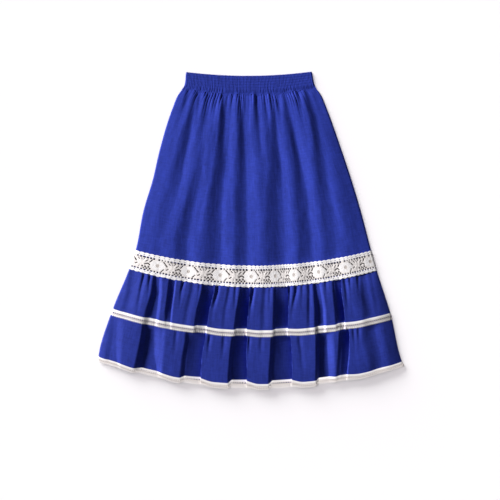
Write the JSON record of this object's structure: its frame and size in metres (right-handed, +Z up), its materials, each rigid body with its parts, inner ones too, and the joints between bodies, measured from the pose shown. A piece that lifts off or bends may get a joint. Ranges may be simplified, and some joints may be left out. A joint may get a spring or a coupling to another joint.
{
  "type": "prairie skirt",
  "caption": "Tiered prairie skirt laid flat, with a shirred elastic waistband, lace insertion band, gathered ruffles and narrow lace edging.",
  "frame": {"origin": "on the surface the skirt lies on, under the middle of its outline", "axes": "+Z up out of the front, +Y towards the waist, +X towards the right side as seen from above"},
  "size_m": [0.7984, 0.8252, 0.0192],
  "materials": {
    "blue_cotton": "plain woven cotton, matt with a faint sheen",
    "cream_lace": "matt cotton lace"
  },
  "bodies": {
    "root": {"waistband": "blue_cotton", "body_front": "blue_cotton", "body_back": "blue_cotton", "lace_band_front": "cream_lace", "lace_band_back": "cream_lace", "ruffle_1_front": "blue_cotton", "ruffle_1_back": "blue_cotton", "ruffle_trim_front": "cream_lace", "ruffle_trim_back": "cream_lace", "ruffle_2_front": "blue_cotton", "ruffle_2_back": "blue_cotton", "hem_trim_front": "cream_lace", "hem_trim_back": "cream_lace"}
  },
  "joints": []
}
